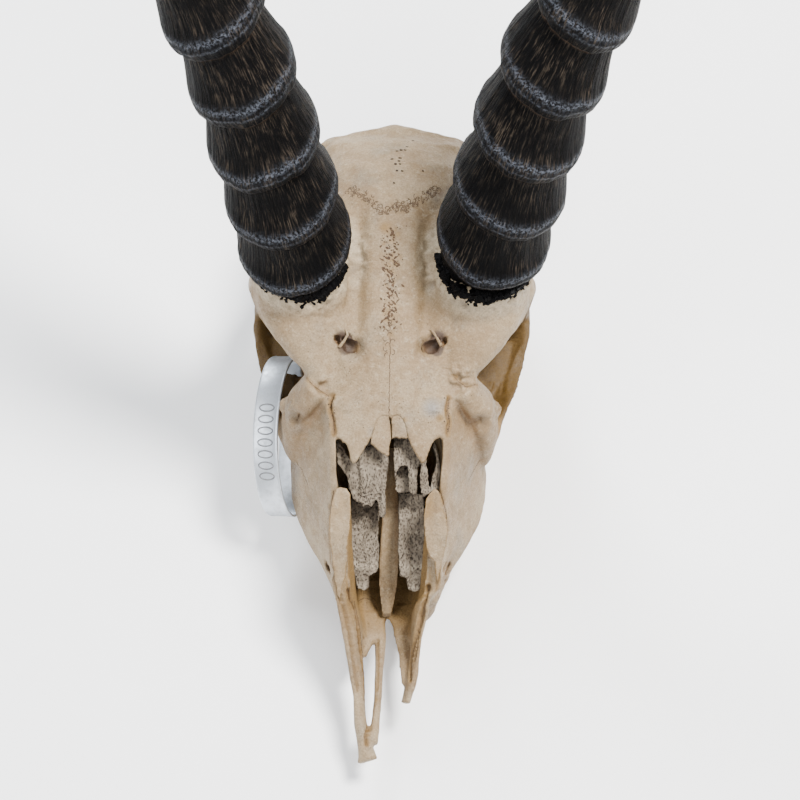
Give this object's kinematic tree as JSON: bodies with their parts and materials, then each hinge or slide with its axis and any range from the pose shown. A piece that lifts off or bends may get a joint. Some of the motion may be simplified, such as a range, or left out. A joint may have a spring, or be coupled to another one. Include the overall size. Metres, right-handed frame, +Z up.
{
  "type": "antelope skull",
  "caption": "Dry antelope skull with ringed lyre-shaped horns and a metal tag band through one orbit, a still display model.",
  "frame": {"origin": "middle of the underside of the bounding box, on the plane the skull rests on", "axes": "+Z up, nose towards -Y, the animal's own left towards +X"},
  "size_m": [0.3038, 0.3592, 0.5071],
  "materials": {
    "bone": null,
    "nasal_bone": "porous grey-brown bone",
    "keratin": "dark ringed horn with a dull sheen",
    "tag_metal": "scuffed flat strap"
  },
  "bodies": {
    "root": {"cranium": "bone", "maxilla_right": "bone", "maxilla_left": "bone", "zygomatic_right": "bone", "zygomatic_left": "bone", "premaxilla_right": "bone", "premaxilla_left": "bone", "turbinate_right": "nasal_bone", "turbinate_left": "nasal_bone", "vomer": "nasal_bone", "horn_right": "keratin", "horn_left": "keratin", "tag_band": "tag_metal"}
  },
  "joints": []
}
